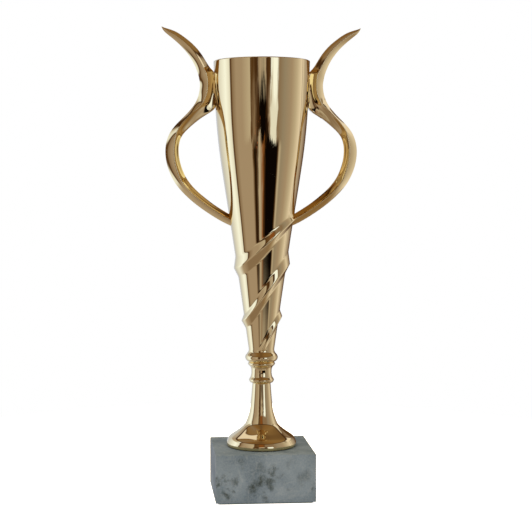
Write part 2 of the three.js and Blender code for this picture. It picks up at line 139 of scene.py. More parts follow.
class Shader:
    """A node tree that is written as expressions."""

    def __init__(self, tree):
        self.tree = tree
        self.tree.nodes.clear()

    def node(self, kind, settings=None, inputs=None, output=0):
        made = self.tree.nodes.new(kind)
        for name, value in (settings or {}).items():
            if name == "stops":
                self.set_stops(made.color_ramp, value)
            else:
                setattr(made, name, value)
        for name, value in (inputs or {}).items():
            if isinstance(value, Sock):
                self.tree.links.new(value.socket, made.inputs[name])
            else:
                made.inputs[name].default_value = value
        return Sock(self, made.outputs[output]) if made.outputs else made

    def set_stops(self, ramp, stops):
        while len(ramp.elements) < len(stops):
            ramp.elements.new(0.5)
        for element, (position, colour) in zip(ramp.elements, stops):
            element.position = position
            element.color = (*colour, 1)

    def mix(self, share, first, second):
        """Mixes two colours."""
        settings = {"data_type": "RGBA"}
        inputs = {0: share, 6: self.colour(first), 7: self.colour(second)}
        return self.node("ShaderNodeMix", settings, inputs, output=2)

    def colour(self, value):
        return value if isinstance(value, Sock) else (*value, 1)


def new_material(name):
    material = bpy.data.materials.new(name)
    material.use_nodes = True
    return material, Shader(material.node_tree)


def noise(shader, place, scale, detail=3.0, roughness=0.5, distortion=0.0):
    inputs = {"Vector": place, "Scale": scale, "Detail": detail, "Roughness": roughness,
              "Distortion": distortion}
    return shader.node("ShaderNodeTexNoise", {}, inputs)


def object_place(shader):
    return shader.node("ShaderNodeTexCoord", output="Object")


def finish_material(shader, inputs):
    surface = shader.node("ShaderNodeBsdfPrincipled", {}, inputs)
    shader.node("ShaderNodeOutputMaterial", {}, {"Surface": surface})


# %% [markdown]
# ## Gold: vacuum-metallised plastic
# The cup, handles, collar and foot are moulded plastic with a gold-coloured metal film under clear
# lacquer. It is a real mirror, so the colour lies in the reflection and deepens where the gold
# sees itself. Moulding leaves a very faint waviness, and handling leaves patches that are a little
# less sharp, which is what keeps such a surface from looking computed.

# %% Gold
gold, shader = new_material("metallised_gold")
place = object_place(shader)
waves = noise(shader, place, 42, detail=1.5)
dust = noise(shader, place, 900, detail=2)
smears = noise(shader, place, 65, detail=4, roughness=0.6, distortion=0.6).between(0.52, 0.75)
ripple = shader.node("ShaderNodeBump", {}, {
    "Strength": 0.12, "Distance": 0.0004, "Height": waves + dust * 0.02})
deeper = noise(shader, place, 22, detail=2) * 0.5
gold_tone = shader.mix(deeper, (0.90, 0.715, 0.375), (0.87, 0.68, 0.345))
finish_material(shader, {
    "Base Color": gold_tone, "Metallic": 1.0, "Roughness": 0.016 + smears * 0.035,
    "Normal": ripple})
print("gold ready")

# %% [markdown]
# The inside of the cup can't be seen from the front, so its finish is a guess: a duller gold, with
# a fine grain and a blurred shine. A full mirror would come out black: a deep cup passes the light
# from wall to wall until it is lost.

# %% Duller gold for the inside of the cup
lining, shader = new_material("gold_lining")
place = object_place(shader)
cloudy = noise(shader, place, 55, detail=3)
grain = noise(shader, place, 1300, detail=2)
spray = shader.node("ShaderNodeBump", {}, {"Strength": 0.15, "Distance": 0.0002, "Height": grain})
finish_material(shader, {
    "Base Color": shader.mix(cloudy, (0.62, 0.44, 0.17), (0.72, 0.53, 0.23)), "Metallic": 0.35,
    "Roughness": 0.30 + cloudy * 0.12, "Normal": spray})
print("gold lining ready")

# %% [markdown]
# ## Marble
# A blue-grey stone with soft, dark green-grey clouds and a few hair-thin pale veins. Large noise
# makes the cloudy ground, a thresholded noise makes small dark clouds all over, and a narrow slice
# of a third one makes the veins. The larger dark inclusions on the front are listed spots, with
# edges that another noise has pushed about. A real polish would mirror the room; this one is
# kept duller, so that the stone shows its own colour and hardly any of the room.

# %% Marble
marble, shader = new_material("polished_marble")
place = object_place(shader)
ground = noise(shader, place, 34, detail=5, roughness=0.6, distortion=0.4)
clouds = noise(shader, place, 68, detail=6, roughness=0.62, distortion=1.1)
grit = noise(shader, place, 900, detail=3, roughness=0.7)
vein_field = noise(shader, place, 24, detail=6, roughness=0.6, distortion=1.6)
veins = 1 - (vein_field - 0.5).abs().between(0.0, 0.018)
stirred = shader.node("ShaderNodeTexNoise", {}, {"Vector": place, "Scale": 150, "Detail": 4,
                                                 "Roughness": 0.65}, output=1)
stirred = shader.node("ShaderNodeVectorMath", {"operation": "SUBTRACT"},
                      {0: stirred, 1: (0.5, 0.5, 0.5)})
stirred = shader.node("ShaderNodeVectorMath", {"operation": "SCALE"}, {0: stirred, "Scale": 0.013})
stirred = shader.node("ShaderNodeVectorMath", {"operation": "ADD"}, {0: place, 1: stirred})
# dark inclusions just behind the front face: across, height, size in mm, and how dark
inclusion_depth = -29
inclusions = [(-14.9, 25.4, 3.4, 0.5), (2.5, 20.0, 3.4, 1.0), (4.6, 21.5, 2.2, 0.8),
              (-3.5, 13.5, 4.2, 1.0), (-7.5, 9.1, 3.6, 0.9), (2.0, 13.0, 3.6, 0.8),
              (-19.0, 13.5, 4.2, 0.7), (-22.4, 6.6, 3.2, 0.9), (-28.4, 13.5, 3.4, 0.9),
              (-3.5, 20.5, 3.8, 0.4), (-0.5, 3.6, 3.0, 0.7), (23.4, 15.5, 5.5, 0.4),
              (28.4, 10.5, 3.2, 0.7), (14.0, 24.0, 3.0, 0.3)]
dark = clouds.between(0.58, 0.74) * 0.55
for across, height, size, depth_of_tone in inclusions:
    centre = (across * MM, inclusion_depth * MM, height * MM)
    away = shader.node("ShaderNodeVectorMath", {"operation": "DISTANCE"}, {0: stirred, 1: centre},
                       output=1)
    spot = away.between(1.2 * size * MM, 0.1 * size * MM) * depth_of_tone
    dark = shader.node("ShaderNodeMath", {"operation": "MAXIMUM"}, {0: dark, 1: spot})
stone = shader.mix(ground.between(0.35, 0.68), (0.055, 0.080, 0.113), (0.098, 0.131, 0.175))
stone = shader.mix(veins * 0.10, stone, (0.25, 0.27, 0.28))
stone = shader.mix(dark * 0.95, stone, (0.010, 0.017, 0.018))
stone = shader.mix(grit.between(0.3, 0.8) * 0.10, stone, (0.42, 0.44, 0.44))
polish = shader.node("ShaderNodeBump", {}, {"Strength": 0.15, "Distance": 0.0002, "Height": grit})
finish_material(shader, {
    "Base Color": stone, "Roughness": 0.52 + dark * 0.10 + grit * 0.08, "Normal": polish,
    "Specular IOR Level": 0.1, "IOR": 1.3})
print("marble ready")

# %% [markdown]
# ## Felt and zinc-plated steel
# The felt is matted wool: short fibres lie every way, so it is rough with a soft sheen. The
# fastenings are cheap zinc-plated steel, a little cloudy and finely scratched.

# %% Felt and steel
felt, shader = new_material("dark_felt")
place = object_place(shader)
fibres = noise(shader, place, 1500, detail=4, roughness=0.75, distortion=1.4)
tufts = noise(shader, place, 260, detail=3)
nap = shader.node("ShaderNodeBump", {}, {"Strength": 0.9, "Distance": 0.0003,
                                         "Height": fibres * 0.7 + tufts * 0.3})
felt_tone = shader.mix(fibres.between(0.3, 0.75), (0.010, 0.030, 0.018), (0.035, 0.075, 0.050))
finish_material(shader, {
    "Base Color": felt_tone, "Roughness": 0.95, "Sheen Weight": 0.4, "Normal": nap})

steel, shader = new_material("zinc_steel")
place = object_place(shader)
cloudy = noise(shader, place, 420, detail=4, roughness=0.6)
scratches = noise(shader, place, 2600, detail=2, distortion=2.0)
steel_grain = shader.node("ShaderNodeBump", {}, {"Strength": 0.2, "Distance": 0.0001,
                                                 "Height": scratches})
steel_tone = shader.mix(cloudy.between(0.3, 0.7), (0.50, 0.52, 0.55), (0.66, 0.67, 0.68))
finish_material(shader, {
    "Base Color": steel_tone, "Metallic": 1.0, "Roughness": 0.26 + cloudy * 0.2,
    "Normal": steel_grain})
print("felt and steel ready")

# %% [markdown]
# ## Small tools for modelling
# An operator works on everything that is selected, so each piece starts with nothing selected.
# When a piece is done it gets its finish, is shaded smooth up to a given angle, rides on the one
# body that the trophy has, and hides the solid of the design that it stands for.

# %% Modelling helpers
def deselect():
    if bpy.context.object and bpy.context.object.mode != "OBJECT":
        bpy.ops.object.mode_set(mode="OBJECT")
    bpy.ops.object.select_all(action="DESELECT")


def edit(select="SELECT", elements="VERT"):
    bpy.ops.object.mode_set(mode="EDIT")
    bpy.ops.mesh.select_mode(type=elements)
    bpy.ops.mesh.select_all(action=select)


def apply_place():
    bpy.ops.object.mode_set(mode="OBJECT")
    bpy.ops.object.transform_apply(location=True, rotation=True, scale=True)


def finished(piece, material, nodes, angle=35):
    deselect()
    piece.select_set(True)
    bpy.context.view_layer.objects.active = piece
    bpy.ops.object.shade_smooth_by_angle(angle=math.radians(angle))
    piece.data.materials.clear()
    piece.data.materials.append(material)
    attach(piece, "root")
    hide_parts(*nodes)
    low, high = (np.array([v.co for v in piece.data.vertices]).min(0),
                 np.array([v.co for v in piece.data.vertices]).max(0))
    print(piece.name, "mm", np.round((high - low) / MM, 1), "faces", len(piece.data.polygons))
    return piece


def smooth_line(points, count):
    """Count + 1 points along a smooth curve through the given points, evenly by their number."""
    points = np.array(points, float)
    padded = np.vstack([2 * points[0] - points[1], points, 2 * points[-1] - points[-2]])
    line = []
    for step in range(count + 1):
        place = step / count * (len(points) - 1)
        i = min(int(place), len(points) - 2)
        t = place - i
        a, b, c, d = padded[i:i + 4]
        line.append(0.5 * (2 * b + (c - a) * t + (2 * a - 5 * b + 4 * c - d) * t ** 2
                           + (3 * b - a - 3 * c + d) * t ** 3))
    return line


def spun(name, outline, steps):
    """Draws an outline of (radius, height) by extruding one point, and spins it round the rod."""
    deselect()
    radius, height = outline[0]
    bpy.ops.mesh.primitive_plane_add(size=MM, location=(radius, 0, height))
    piece = bpy.context.object
    piece.name = name
    apply_place()
    edit()
    bpy.ops.mesh.merge(type="CENTER")
    for before, after in zip(outline, outline[1:]):
        move = (after[0] - before[0], 0, after[1] - before[1])
        bpy.ops.mesh.extrude_region_move(TRANSFORM_OT_translate={"value": move})
    bpy.ops.mesh.select_all(action="SELECT")
    bpy.ops.mesh.spin(steps=steps, angle=math.tau, center=(0, 0, 0), axis=(0, 0, 1))
    bpy.ops.mesh.select_all(action="SELECT")
    bpy.ops.mesh.remove_doubles(threshold=0.002 * MM)
    bpy.ops.mesh.normals_make_consistent(inside=False)
    bpy.ops.object.mode_set(mode="OBJECT")
    return piece


# %% [markdown]
# ## The foot
# A thin moulded bell. A rounded edge stands on the marble, a hollow flare sweeps up from it, and a
# long stem narrows to the collar. Turned pieces are drawn as half an outline and spun: the outline
# goes up the outside and back down the inside, so the wall closes on itself.

# %% Foot
def lifted(line, height):
    return [(radius * MM, height + up * MM) for radius, up in line]


rod_bore = 2.75
foot_height = 38.4
foot_ceiling = 35.4
foot_outside = [(20.35, 0), (21.1, 0.55), (21.45, 1.9), (21.1, 3.4), (19.55, 6), (14.7, 9.4),
                (10.6, 12.9), (8.85, 16.4), (7.2, 21.8), (6.5, 27.5), (6.0, 33), (5.6, foot_height)]
foot_inside = [(4.0, foot_ceiling), (4.9, 24), (7.25, 14.4), (13.1, 7.4), (18.3, 3.4), (18.7, 0)]
foot_line = (smooth_line(foot_outside, 90) + [(rod_bore, foot_height), (rod_bore, foot_ceiling)]
             + smooth_line(foot_inside, 30) + [foot_outside[0]])
foot = spun("foot", lifted(foot_line, base_top), 144)
finished(foot, gold, ["foot"])

# %% [markdown]
# ## The collar
# A short turned piece between foot and cup: a ring with an undercut below it, a waisted neck, and
# a sharper ring above, which the cup's bead sits on.

# %% Collar
collar_height = 13.6
collar_outside = [(5.6, 0), (5.75, 0.35), (6.9, 0.95), (7.55, 1.9), (7.6, 2.6), (7.2, 3.3),
                  (6.6, 4.4), (6.22, 6.2), (6.2, 7.6), (6.35, 9.2), (6.9, 10.5), (7.9, 11.5),
                  (8.3, 12.2), (8.1, 12.9), (7.5, collar_height)]
collar_line = (smooth_line(collar_outside, 70)
               + [(rod_bore, collar_height), (rod_bore, 0), collar_outside[0]])
collar = spun("collar", lifted(collar_line, foot_top), 128)
finished(collar, gold, ["collar"])

# %% [markdown]
# ## The cup
# The plain cup is an outline spun like the others: a bead, a wall that opens upwards and turns
# upright at the rim, the inside, and a thick floor. Two ridges wind down it, one from each handle.
# Their crests have to stay crisp, so below the handles each row of points is set at the height that
# the crest reaches one step further round than in the row above it. The crests then run exactly
# along the diagonals of the squares of the mesh, and the points only need to be moved outwards by
# the height of the ridge.

# %% The cup's wall and its ridges, as functions
def smooth_function(points):
    """A smooth curve through (x, y) points, held level past its ends."""
    xs, ys = np.array(points, float).T
    slopes = np.gradient(ys, xs)
    slopes[1:-1] = (ys[2:] - ys[:-2]) / (xs[2:] - xs[:-2])
    slopes[0], slopes[-1] = (ys[1] - ys[0]) / (xs[1] - xs[0]), (ys[-1] - ys[-2]) / (xs[-1] - xs[-2])

    def value(x):
        x = np.clip(x, xs[0], xs[-1])
        i = np.clip(np.searchsorted(xs, x) - 1, 0, len(xs) - 2)
        span = xs[i + 1] - xs[i]
        t = (x - xs[i]) / span
        bend = (slopes[i] * (1 - t) - slopes[i + 1] * t) * span + (ys[i + 1] - ys[i]) * (2 * t - 1)
        return ys[i] + (ys[i + 1] - ys[i]) * t + t * (1 - t) * bend
    return value


def ease(x, low, high):
    t = np.clip((x - low) / (high - low), 0, 1)
    return t * t * (3 - 2 * t)


cup_height = (cup_rim - cup_bottom) / MM
neck_radius = 7.8
bead_height = 7.5
cup_wall = 2.0
floor_height = 10.2
ridge_start = cup_height - 96.1
ridge_depth = 1.9
crest_rounding = 0.05
flank_rounding = 0.2
ridge_levels = [1, 0.674, 0.305, -0.062]
cup_opening = smooth_function([(0, 0), (0.2, 0.232), (0.4, 0.476), (0.6, 0.731), (0.7, 0.847),
                               (0.8, 0.926), (0.9, 0.971), (1, 1)])
spread_above = smooth_function([(0, 2.6), (0.5, 5.2), (1, 7.6), (1.5, 6.2), (1.8, 4.2), (2.5, 4.6)])
spread_below = smooth_function([(0, 2.6), (0.5, 6.2), (1, 5.8), (1.5, 6), (2, 5), (2.5, 4.6)])
ridge_proud = smooth_function([(0, 0), (0.06, 1), (0.3, 1), (2.1, 1), (2.35, 0.75), (2.55, 0.35)])


def cup_radius(height):
    share = (height - bead_height) / (cup_height - bead_height)
    return neck_radius + (rim_radius / MM - neck_radius) * cup_opening(share)


def ridge_height(half_turns):
    """How high a crest is after some half turns: nearly level at the sides, steep in front."""
    whole = np.minimum(np.floor(half_turns).astype(int), len(ridge_levels) - 2)
    part = np.maximum(half_turns - whole, 0)
    t = part ** 0.9
    eased = 0.1 * part + 0.9 * t ** 3 * (t * (6 * t - 15) + 10)
    levels = np.array(ridge_levels)
    return ridge_start * (levels[whole] + (levels[whole + 1] - levels[whole]) * eased)


def ridge_relief(height, angle):
    """How far the ridges stand out, at an angle counted from the right side to the front."""
    relief = np.zeros_like(height)
    for turn in range(3):
        half_turns = np.mod(angle, math.pi) / math.pi + turn
        above = height - ridge_height(half_turns)
        spread = np.where(above > 0, spread_above(half_turns), spread_below(half_turns))
        away = np.abs(above) / spread
        crest = 1 - (np.sqrt(away ** 2 + crest_rounding ** 2) - crest_rounding)
        rise = np.clip(crest, 0, None)
        rise = np.where(rise < flank_rounding, rise ** 2 / (2 * flank_rounding),
                        rise - flank_rounding / 2)
        full_rise = 1 - flank_rounding / 2
        relief = np.maximum(relief, ridge_depth / full_rise * ridge_proud(half_turns) * rise)
    return relief


def ridge_tilt(height):
    """The pair of ridges lies a little askew: higher at the right side, lower at the left."""
    risen = ease(height, bead_height, bead_height + 16)
    return 1.4 * risen * (1 - ease(height, ridge_start + 4, ridge_start + 26))


# %% The cup's outline, spun and twisted
cup_sides = 192
bead_line = smooth_line([(7.5, 0), (8.7, 0.35), (9.7, 1.5), (10.0, 2.8), (9.6, 4.0), (8.6, 5.3),
                         (8.0, 6.3), (neck_radius, bead_height)], 36)
crest_rows = []
while ridge_height(np.array(2 * len(crest_rows) / cup_sides)) > bead_height + 0.25:
    crest_rows.append(float(ridge_height(np.array(2 * len(crest_rows) / cup_sides))))
plain_rows = [*np.linspace(ridge_start, cup_height - 1.2, 42)[1:], cup_height - 0.8,
              cup_height - 0.55]
outside = bead_line + [(float(cup_radius(h)), h) for h in [*crest_rows[::-1], *plain_rows]]
rim_line = [(rim_radius / MM - 0.12, cup_height - 0.22), (rim_radius / MM - 0.5, cup_height),
            (rim_radius / MM - cup_wall + 0.5, cup_height),
            (rim_radius / MM - cup_wall + 0.1, cup_height - 0.22)]
inside_rows = [cup_height - 0.6, *np.linspace(cup_height - 1.0, floor_height + 0.6, 40)]
inside = [(float(cup_radius(h)) - cup_wall, h) for h in inside_rows]
floor_line = [(inside[-1][0] - 0.5, floor_height), (rod_bore, floor_height), (rod_bore, 0),
              bead_line[0]]
cup_line = outside + rim_line + inside + floor_line
cup = spun("cup", lifted(cup_line, cup_bottom), cup_sides)
print("rows with a crest point:", len(crest_rows), "of", len(cup_line))

# %% Press the ridges out of the wall
deselect()
cup.select_set(True)
bpy.context.view_layer.objects.active = cup
ridged = []
for vertex in cup.data.vertices:
    x, y, z = vertex.co / MM
    height = z - cup_bottom / MM
    radius = math.hypot(x, y)
    is_outside = height > bead_height - 0.01 and radius > cup_radius(height) - 0.4
    if is_outside and height < cup_height - 0.5:
        ridged.append((vertex.index, height, math.atan2(-y, x) % math.tau))
indices, heights, angles = (np.array(part) for part in zip(*ridged))
indices = indices.astype(int)
angles = np.where(angles > math.tau - 0.001, 0, angles)
lifted_heights = heights + ridge_tilt(heights) * np.cos(angles)
radii = cup_radius(lifted_heights) + ridge_relief(heights, angles)
for index, height, angle, radius in zip(indices, lifted_heights, angles, radii):
    cup.data.vertices[index].co = (radius * MM * math.cos(angle), -radius * MM * math.sin(angle),
                                   cup_bottom + height * MM)
print("points on the outside of the cup:", len(indices), "widest there:", radii.max().round(2))

# %% Split the squares along the crests
edit("DESELECT", "FACE")
bpy.ops.object.mode_set(mode="OBJECT")
crest_top = cup_bottom + (ridge_start + 2) * MM
for face in cup.data.polygons:
    middle = face.center
    outside = math.hypot(middle.x, middle.y) / MM > cup_radius((middle.z - cup_bottom) / MM) - 0.6
    face.select = bool(outside and cup_bottom + bead_height * MM < middle.z < crest_top)
bpy.ops.object.mode_set(mode="EDIT")
bpy.ops.mesh.quads_convert_to_tris(quad_method="FIXED")
bpy.ops.object.mode_set(mode="OBJECT")
finished(cup, gold, ["cup"], angle=60)

# %% Give the inside its duller gold
rim_band = 0.6
underside = 4
cup.data.materials.append(lining)
for face in cup.data.polygons:
    outwards = face.normal.x * face.center.x + face.normal.y * face.center.y
    depth = (cup_rim - face.center.z) / MM
    if depth > rim_band and outwards <= 0 and face.center.z > cup_bottom + underside * MM:
        face.material_index = 1
print("faces lining the cup:", sum(face.material_index for face in cup.data.polygons))

# %% [markdown]
# ## The handles
# Each handle is one moulded strand with four edges: a sharp one outside, a sharp one inside and a
# crest in front and behind. The outer faces are full; the inner ones are hollow, but a little full
# round the loop. Beside the rim the inner edge widens into a web and a flange that lie on the cup.
# A strand like this is drawn as a list of stations, each with its outer edge, its inner edge and
# where the crest lies between them. A flat grid of points is then bent onto it: one side of the
# grid runs along the strand and the other runs round it.

# %% Stations of the right handle
# outer edge x, z; inner edge x, z; crest's share of the way in; half depth; hollow; inner half
# width; flange half width. Heights are above the table, in mm.
stations = [
    (60.80, 285.10, 60.55, 285.30, 0.50, 0.12, 0.00, 0.04, 0.04),
    (59.90, 283.30, 58.90, 284.55, 0.50, 0.60, 0.05, 0.06, 0.06),
    (58.20, 281.40, 56.20, 283.80, 0.50, 1.35, 0.10, 0.08, 0.08),
    (54.60, 278.60, 51.40, 282.00, 0.50, 2.05, 0.15, 0.10, 0.10),
    (49.60, 274.30, 45.60, 278.00, 0.52, 2.65, 0.20, 0.12, 0.12),
    (45.00, 269.20, 40.30, 273.40, 0.54, 3.15, 0.25, 0.14, 0.14),
    (41.30, 263.40, 35.90, 267.80, 0.53, 3.55, 0.28, 0.18, 0.18),
    (38.90, 257.60, 31.60, 260.60, 0.52, 3.85, 0.28, 0.45, 0.45),
    (38.20, 254.60, 29.00, 258.20, 0.49, 3.95, 0.25, 0.90, 0.95),
    (37.60, 251.30, 28.50, 252.20, 0.48, 4.02, 0.30, 1.00, 2.20),
    (37.65, 248.80, 28.35, 248.40, 0.48, 4.05, 0.45, 1.00, 3.00),
    (38.00, 246.00, 28.20, 244.60, 0.46, 4.08, 0.60, 1.00, 3.10),
    (38.80, 243.00, 28.05, 240.60, 0.38, 4.10, 0.60, 1.00, 3.10),
    (39.80, 240.60, 28.40, 236.20, 0.31, 4.10, 0.50, 1.10, 2.60),
    (41.20, 238.10, 31.40, 233.80, 0.27, 4.10, 0.35, 1.30, 1.40),
    (43.60, 235.10, 37.00, 230.20, 0.25, 4.05, 0.30, 1.00, 1.00),
    (46.80, 231.60, 41.80, 226.40, 0.27, 3.95, 0.30, 0.40, 0.40),
    (51.90, 226.60, 47.00, 221.60, 0.35, 3.80, 0.30, 0.20, 0.20),
    (55.80, 221.60, 49.40, 217.80, 0.52, 3.85, -0.26, 0.15, 0.15),
    (58.00, 215.90, 50.40, 213.90, 0.60, 4.00, -0.28, 0.15, 0.15),
    (58.70, 210.40, 50.60, 210.30, 0.62, 4.08, -0.28, 0.15, 0.15),
    (58.20, 204.40, 50.20, 205.70, 0.60, 4.05, -0.28, 0.15, 0.15),
    (56.40, 198.00, 49.00, 200.90, 0.57, 3.95, -0.26, 0.15, 0.15),
    (53.50, 192.00, 46.90, 195.60, 0.52, 3.80, -0.15, 0.15, 0.15),
    (50.00, 187.20, 44.30, 191.50, 0.50, 3.60, 0.26, 0.15, 0.15),
    (45.20, 182.20, 40.50, 187.00, 0.50, 3.40, 0.24, 0.15, 0.15),
    (39.40, 177.30, 35.30, 182.50, 0.52, 3.25, 0.22, 0.15, 0.15),
    (32.50, 172.40, 29.00, 177.60, 0.53, 3.15, 0.20, 0.15, 0.15),
    (24.30, 167.40, 21.30, 172.80, 0.54, 3.05, 0.15, 0.15, 0.15),
    (18.90, 164.85, 18.00, 170.95, 0.55, 3.00, 0.15, 0.15, 0.15),
]
strand_rows = np.array(smooth_line(stations, 8 * (len(stations) - 1)))
for easing in range(5):
    strand_rows[2:-2] = (strand_rows[:-4] + 2 * strand_rows[1:-3] + 3 * strand_rows[2:-2]
                         + 2 * strand_rows[3:-1] + strand_rows[4:]) / 9
print("rows along a handle:", len(strand_rows))

# %% One section of a handle
full_points = 9
hollow_points = 13
fullness = 0.055
hollow_depth = 0.42
flange_from, flange_to = 0.86, 0.93


def section(row):
    """Points round a section, from the outer edge over the front to the inner edge and back."""
    outer_x, outer_z, inner_x, inner_z, crest, deep, hollow, land, flange = row
    half = []
    for i in range(full_points):
        t = i / full_points
        bulge = fullness * math.sin(math.pi * t) * deep
        half.append((t * crest, deep * t + bulge))
    inner = []
    for i in range(2, hollow_points + 1):
        t = i / hollow_points
        sag = hollow * math.sin(math.pi * min(t * 1.15, 1)) * deep * hollow_depth
        width = deep * (1 - t) + land * t - sag * (1 - t * 0.4)
        widen = ease(t, flange_from, flange_to) * (flange - land)
        inner.append((crest + (1 - crest) * t, max(width, 0.03) + widen))
    rounding = min(0.045, 0.09 * crest)
    rise = (deep - half[-1][1]) / (crest - half[-1][0])
    fall = (deep - inner[0][1]) / (inner[0][0] - crest)
    for u in (-1, -0.6, -0.2, 0.2, 0.6, 1):
        half.append((crest + u * rounding, deep - (rise + fall) * rounding * (1 + u * u) / 4
                     + (rise - fall) * rounding * u / 2))
    half += inner
    ring = half + [(along, -front) for along, front in reversed(half)][:-1]
    return [(outer_x + (inner_x - outer_x) * along, -front, outer_z + (inner_z - outer_z) * along)
            for along, front in ring]


# %% Bend a grid onto the right handle
rings = [section(row) for row in strand_rows]
around = len(rings[0])
deselect()
bpy.ops.mesh.primitive_grid_add(x_subdivisions=around, y_subdivisions=len(rings) - 1, size=1)
right_handle = bpy.context.object
right_handle.name = "right_handle"
for vertex in right_handle.data.vertices:
    column = round((vertex.co.x + 0.5) * around) % around
    row = round((vertex.co.y + 0.5) * (len(rings) - 1))
    vertex.co = Vector(rings[row][column]) * MM
edit()
bpy.ops.mesh.remove_doubles(threshold=0.001 * MM)
bpy.ops.mesh.select_all(action="DESELECT")
bpy.ops.mesh.select_non_manifold(extend=False)
bpy.ops.mesh.edge_face_add()
bpy.ops.mesh.select_all(action="SELECT")
bpy.ops.mesh.normals_make_consistent(inside=False)
bpy.ops.object.mode_set(mode="OBJECT")

# %% [markdown]
# The left handle is the same moulding turned half round, so it is a copy with a mesh of its own.

# %% The left handle
deselect()
right_handle.select_set(True)
bpy.context.view_layer.objects.active = right_handle
bpy.ops.object.duplicate(linked=False)
left_handle = bpy.context.object
left_handle.name = "left_handle"
bpy.ops.transform.rotate(value=math.pi, orient_axis="Z", center_override=(0, 0, 0))
apply_place()
finished(right_handle, gold, ["right_handle"], angle=24)
finished(left_handle, gold, ["left_handle"], angle=24)

# %% [markdown]
# ## The marble block
# A sawn and polished block with its sharp edges just taken off. Underneath, a drilled recess hides
# the nut, and a bore takes the rod. The block is a cube at its full size; its edges are bevelled,
# and then the recess and the bore are cut with two cylinders.

# %% Marble block
def cut_with_bar(piece, radius, bottom, top, sides=64):
    bpy.ops.object.select_all(action="DESELECT")
    bpy.ops.mesh.primitive_cylinder_add(vertices=sides, radius=radius, depth=top - bottom,
                                        location=(0, 0, (top + bottom) / 2))
    cutter = bpy.context.object
    apply_place()
    bpy.context.view_layer.objects.active = piece
    cut = piece.modifiers.new("cut", "BOOLEAN")
    cut.operation = "DIFFERENCE"
    cut.object = cutter
    bpy.ops.object.modifier_apply(modifier="cut")
    bpy.data.objects.remove(cutter)


def block(name, low, high):
    deselect()
    bpy.ops.mesh.primitive_cube_add(size=1, location=(low + high) / 2)
    piece = bpy.context.object
    piece.name = name
    piece.scale = high - low
    apply_place()
    return piece


base_low, base_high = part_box("marble_base")
marble_base = block("marble_base", base_low, base_high)
edit()
bpy.ops.mesh.bevel(offset=0.55 * MM, segments=3, profile=0.6)
bpy.ops.object.mode_set(mode="OBJECT")
washer_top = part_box("base_washer")[1].z
cut_with_bar(marble_base, 12.5 * MM, base_bottom - 1 * MM, washer_top)
cut_with_bar(marble_base, rod_bore * MM, washer_top - 1 * MM, base_top + 1 * MM)
finished(marble_base, marble, ["marble_base"], angle=30)

# %% [markdown]
# ## The felt
# A die-cut square of self-adhesive felt, a little smaller than the block, so that it stays out of
# sight and the stone can't scratch a shelf. Its corners are rounded by one bevel and its edge is
# softened by a second; the fibres are left to the finish.

# %% Felt pad
felt_low, felt_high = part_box("felt_pad")
felt_pad = block("felt_pad", felt_low, felt_high)
edit("DESELECT", "EDGE")
bpy.ops.object.mode_set(mode="OBJECT")
for edge in felt_pad.data.edges:
    ends = [felt_pad.data.vertices[v].co for v in edge.vertices]
    edge.select = abs(ends[0].z - ends[1].z) > 0.1 * MM
bpy.ops.object.mode_set(mode="EDIT")
bpy.ops.mesh.bevel(offset=1.5 * MM, segments=5)
bpy.ops.mesh.select_all(action="SELECT")
bpy.ops.mesh.bevel(offset=0.18 * MM, segments=2)
bpy.ops.object.mode_set(mode="OBJECT")
finished(felt_pad, felt, ["felt_pad"], angle=50)

# %% [markdown]
# ## The fastenings
# The rod, nuts, washers and screws keep the solids of the design, which have the right shapes
# already. They only get the plated-steel finish.

# %% Fastenings
steel_nodes = [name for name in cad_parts
               if name.endswith(("washer", "nut", "screw", "rod"))]
for name in steel_nodes:
    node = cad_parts[name]
    node.data.materials.clear()
    node.data.materials.append(steel)
print("steel pieces:", len(steel_nodes))

# %% [markdown]
# ## The room
# Polished metal shows the room it stands in, so most of the picture is made here. This isn't a
# plain studio. Its walls are strips of colour by compass direction, one for each of several levels,
# where 0 is towards the viewer and angles count to the right. The strips were set by trial, until
# the bands on the gold fell in the right places as seen from the camera. A noise bends the edges of
# the strips a little near the middle, and makes a few small warm glints just left of it.
#
# Each kind of ray sees something else: the camera sees plain white, mirrors see the strips, and
# matt surfaces get a soft light that is warm from the left and from above, and dim and cool from
# everywhere else.

# %% The room as strips of colour
room = bpy.data.worlds.new("studio")
room.use_nodes = True
bpy.context.scene.world = room
shader = Shader(room.node_tree)
direction = shader.node("ShaderNodeTexCoord", output="Generated")
to_right = shader.node("ShaderNodeSeparateXYZ", {}, {"Vector": direction})
to_back = Sock(shader, to_right.socket.node.outputs["Y"])
upwards = Sock(shader, to_right.socket.node.outputs["Z"])
turn = shader.node("ShaderNodeMath", {"operation": "ARCTAN2"}, {0: to_right, 1: to_back * -1})
wobble = noise(shader, direction, 7.5, detail=5, roughness=0.6, distortion=0.8) - 0.5
middle_only = (turn / math.radians(50)).abs().between(1.0, 0.5)
sway_sideways = 0.05
sway_upwards = 0.22
place = turn / math.tau + 0.5 + wobble * middle_only * sway_sideways
room_gain = 1.9


def at(degrees):
    return degrees / 360 + 0.5


def strip(stops):
    """A strip of the room's colours by compass direction."""
    stops = [(at(degrees), colour) for degrees, colour in stops]
    return shader.node("ShaderNodeValToRGB", {"stops": stops}, {"Fac": place})


